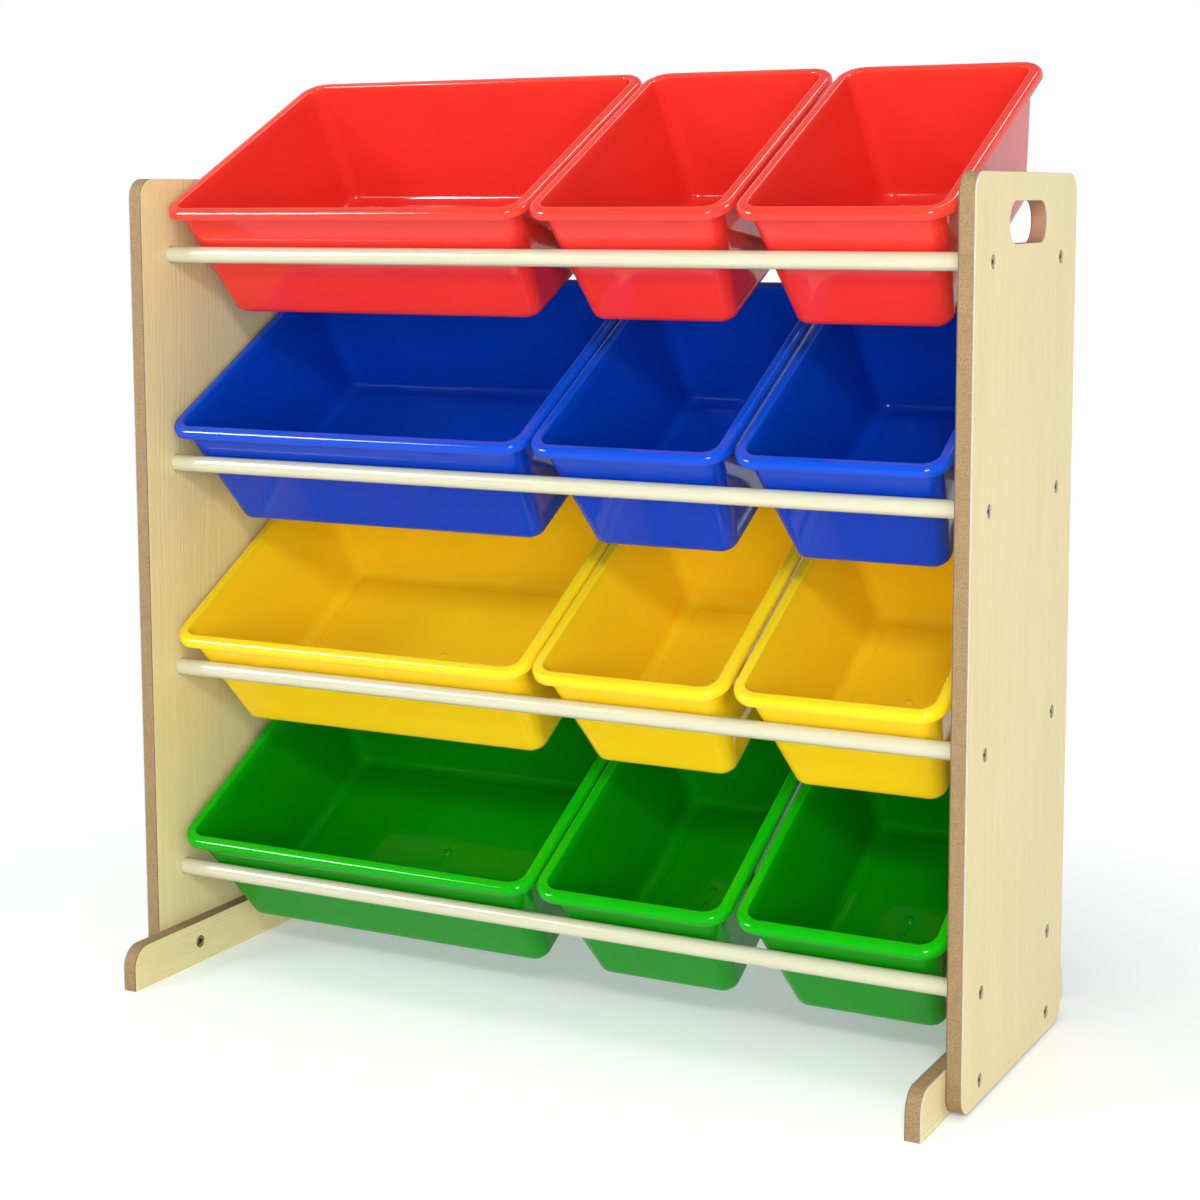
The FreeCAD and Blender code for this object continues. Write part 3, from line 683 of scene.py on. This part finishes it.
FILL = 0.40                         # the surroundings' strength as a light
DARK_STUDIO = 0.25                  # what a gloss shows of the ceiling and the camera's side
CEILING = (0.48, 0.73)              # a direction's upward part where the dark sets in and is full
CAMERA_SIDE = (0.15, 0.45)          # its part towards the front where it does
LAMP_AIM = (0, 0, 0.45)
LAMPS = (                           # name, place, size, power, rays that pass it by
    ("left soft box", (-1.75, -1.95, 1.75), (0.8, 0.8), 20, "glossy"),
    ("left strip", (-1.90, -1.82, 1.75), (0.8, 0.9), 95, "diffuse"),
    ("low front reflector", (0.9, -2.85, 0.75), (2.2, 1.2), 38, "glossy"),
    ("low right reflector", (2.0, -2.35, 0.65), (0.9, 0.9), 15, "glossy"),
    ("high front soft box", (1.4, -2.65, 1.95), (0.4, 0.4), 36, "glossy"),
    ("high front strip", (1.0, -2.8, 2.0), (0.7, 0.7), 80, "diffuse"),
    ("right soft box", (2.4, 1.2, 0.6), (0.7, 0.7), 8, "glossy"),
    ("right strip", (2.6, 0.25, 1.8), (0.8, 0.8), 80, "diffuse"),
    ("overhead soft box", (-0.2, -0.4, 2.7), (1.6, 1.0), 12, "glossy"),
    ("overhead strip", (0.35, 0.70, 2.9), (0.4, 1.5), 16, "diffuse"),
    ("rear soft box", (-0.9, 2.7, 1.3), (1.6, 1.2), 9, "glossy"),
)

WHITE = (1, 1, 1, 1)
FLOOR_REACH = 12.0
FLOOR_COLOUR = (0.88, 0.90, 0.90, 1)
FLOOR_GLOW = (0.85, 0.97, 1.0, 1)
FLOOR_GLOW_STRENGTH = 0.19
FLOOR_FADE = (0.50, 0.92)           # distances where plain white sets in and is full
FLOOR_FADE_Y = -0.1                 # from this point on the middle line


def camera():
    """The photograph's view: place, direction and the off-centre frame."""
    data = bpy.data.cameras.new("camera")
    data.sensor_width = SENSOR
    data.lens = LENS
    data.shift_x, data.shift_y = VIEW_SHIFT
    data.clip_end = VIEW_END
    seen = new_object("camera", data)
    seen.location = VIEW_PLACE
    azimuth, elevation, roll = (math.radians(angle) for angle in VIEW_TURN)
    turned = Matrix.Rotation(azimuth, 4, "Z") @ Matrix.Rotation(math.pi / 2 - elevation, 4, "X")
    seen.rotation_euler = (turned @ Matrix.Rotation(roll, 4, "Z")).to_euler()
    bpy.context.scene.camera = seen


def soft_light(name, place, size, power, missed):
    """An area light that faces the object; the missed kind of ray doesn't see it."""
    data = bpy.data.lights.new(name, "AREA")
    data.shape = "RECTANGLE"
    data.size, data.size_y = size
    data.energy = power
    lamp = new_object(name, data)
    lamp.location = place
    lamp.visible_camera = False
    setattr(lamp, f"visible_{missed}", False)
    lamp.rotation_euler = (Vector(LAMP_AIM) - Vector(place)).to_track_quat("-Z", "Y").to_euler()


def seen_rays(tree):
    """1 for rays that show the backdrop: from the camera, a gloss or through glass."""
    path = add(tree, "ShaderNodeLightPath")
    seen = Wire(tree, path.outputs["Is Camera Ray"])
    for ray in ("Is Glossy Ray", "Is Transmission Ray"):
        seen = seen.most(path.outputs[ray])
    return seen


def floor_material():
    """Pale floor: plain to the light, and to the eye white with the object's soft shadow; far
    from the object it turns to plain white, so that no horizon shows."""
    material, tree, shader = new_material("studio floor")
    shader.inputs["Base Color"].default_value = FLOOR_COLOUR
    shader.inputs["Roughness"].default_value = 0.7
    shader.inputs["Specular IOR Level"].default_value = 0.1
    x, y, _ = parts_of(tree, add(tree, "ShaderNodeTexCoord").outputs["Object"])
    back = y - FLOOR_FADE_Y
    far = (x * x + back * back).join("SQRT").ramp(*FLOOR_FADE)
    glow = add(tree, "ShaderNodeEmission", {"Color": FLOOR_GLOW, "Strength": FLOOR_GLOW_STRENGTH})
    shown = add(tree, "ShaderNodeAddShader", {0: shader.outputs[0], 1: glow.outputs[0]})
    white = add(tree, "ShaderNodeEmission", {"Color": WHITE, "Strength": 1.0})
    faded = add(tree, "ShaderNodeMixShader", {0: far, 1: shown.outputs[0], 2: white.outputs[0]})
    told = add(tree, "ShaderNodeMixShader", {
        0: seen_rays(tree), 1: shader.outputs[0], 2: faded.outputs[0]})
    tree.links.new(told.outputs[0], tree.nodes["Material Output"].inputs["Surface"])
    return material


def surroundings():
    """White to the camera; to a gloss, white with a dark ceiling and camera's side; to the light, a
    plain fill."""
    world = bpy.data.worlds.new("studio")
    bpy.context.scene.world = world
    world.use_nodes = True
    tree = world.node_tree
    backdrop = tree.nodes["Background"]
    backdrop.inputs["Color"].default_value = WHITE
    _, back, up = parts_of(tree, add(tree, "ShaderNodeTexCoord").outputs["Generated"])
    dark = up.ramp(*CEILING).most((-back).ramp(*CAMERA_SIDE))
    from_camera = add(tree, "ShaderNodeLightPath").outputs["Is Camera Ray"]
    shown = (1 - dark * (1 - DARK_STUDIO)).most(from_camera)
    feed(tree, seen_rays(tree) * (shown - FILL) + FILL, backdrop.inputs["Strength"])


def lay_floor():
    """A wide square under the feet."""
    mesh = bpy.data.meshes.new("floor")
    corners = [(x * FLOOR_REACH, y * FLOOR_REACH, 0) for x, y in ((-1, -1), (1, -1), (1, 1), (-1, 1))]
    mesh.from_pydata(corners, [], [(0, 1, 2, 3)])
    mesh.materials.append(floor_material())
    new_object("floor", mesh)


# ---------------------------------------------------------------- the organizer
GRAIN = grain_group()
HANDLING = handling_group()

moulding = bin_tree()
for level, colour in enumerate(TILTS, start=1):
    plastic = glossy_plastic(f"{colour} plastic", *PLASTIC_TONES[colour])
    for kind in KINDS:
        make_bin(moulding, f"{colour}_{kind}", colour, level, plastic)

panel_low, panel_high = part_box("right_side_panel")
rail_low, rail_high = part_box("right_foot_rail")
handle_hole = ((panel_low.y + panel_high.y) / 2, panel_high.z - HOLE_DROP, *HOLE_HALF)
FINISHES = {                        # by the endings of the nodes' names
    ("side_panel",): board("upright board", panel_low.x, panel_high.x, "Z", handle_hole),
    ("foot_rail",): board("rail board", rail_low.x, rail_high.x, "Y"),
    ("rod_1", "rod_2", "rod_3", "rod_4"): lacquer("rod lacquer"),
    ("bolts", "inserts"): plated("plated steel", *STEEL_TONES),
    ("nuts",): plated("bronzed steel", *BRONZE_TONES),
}
for name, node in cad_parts.items():
    for endings, finish in FINISHES.items():
        if name.endswith(endings):
            node.data.materials.clear()
            node.data.materials.append(finish)

camera()
surroundings()
lay_floor()
for lamp in LAMPS:
    soft_light(*lamp)
bpy.context.scene.view_settings.view_transform = "Standard"
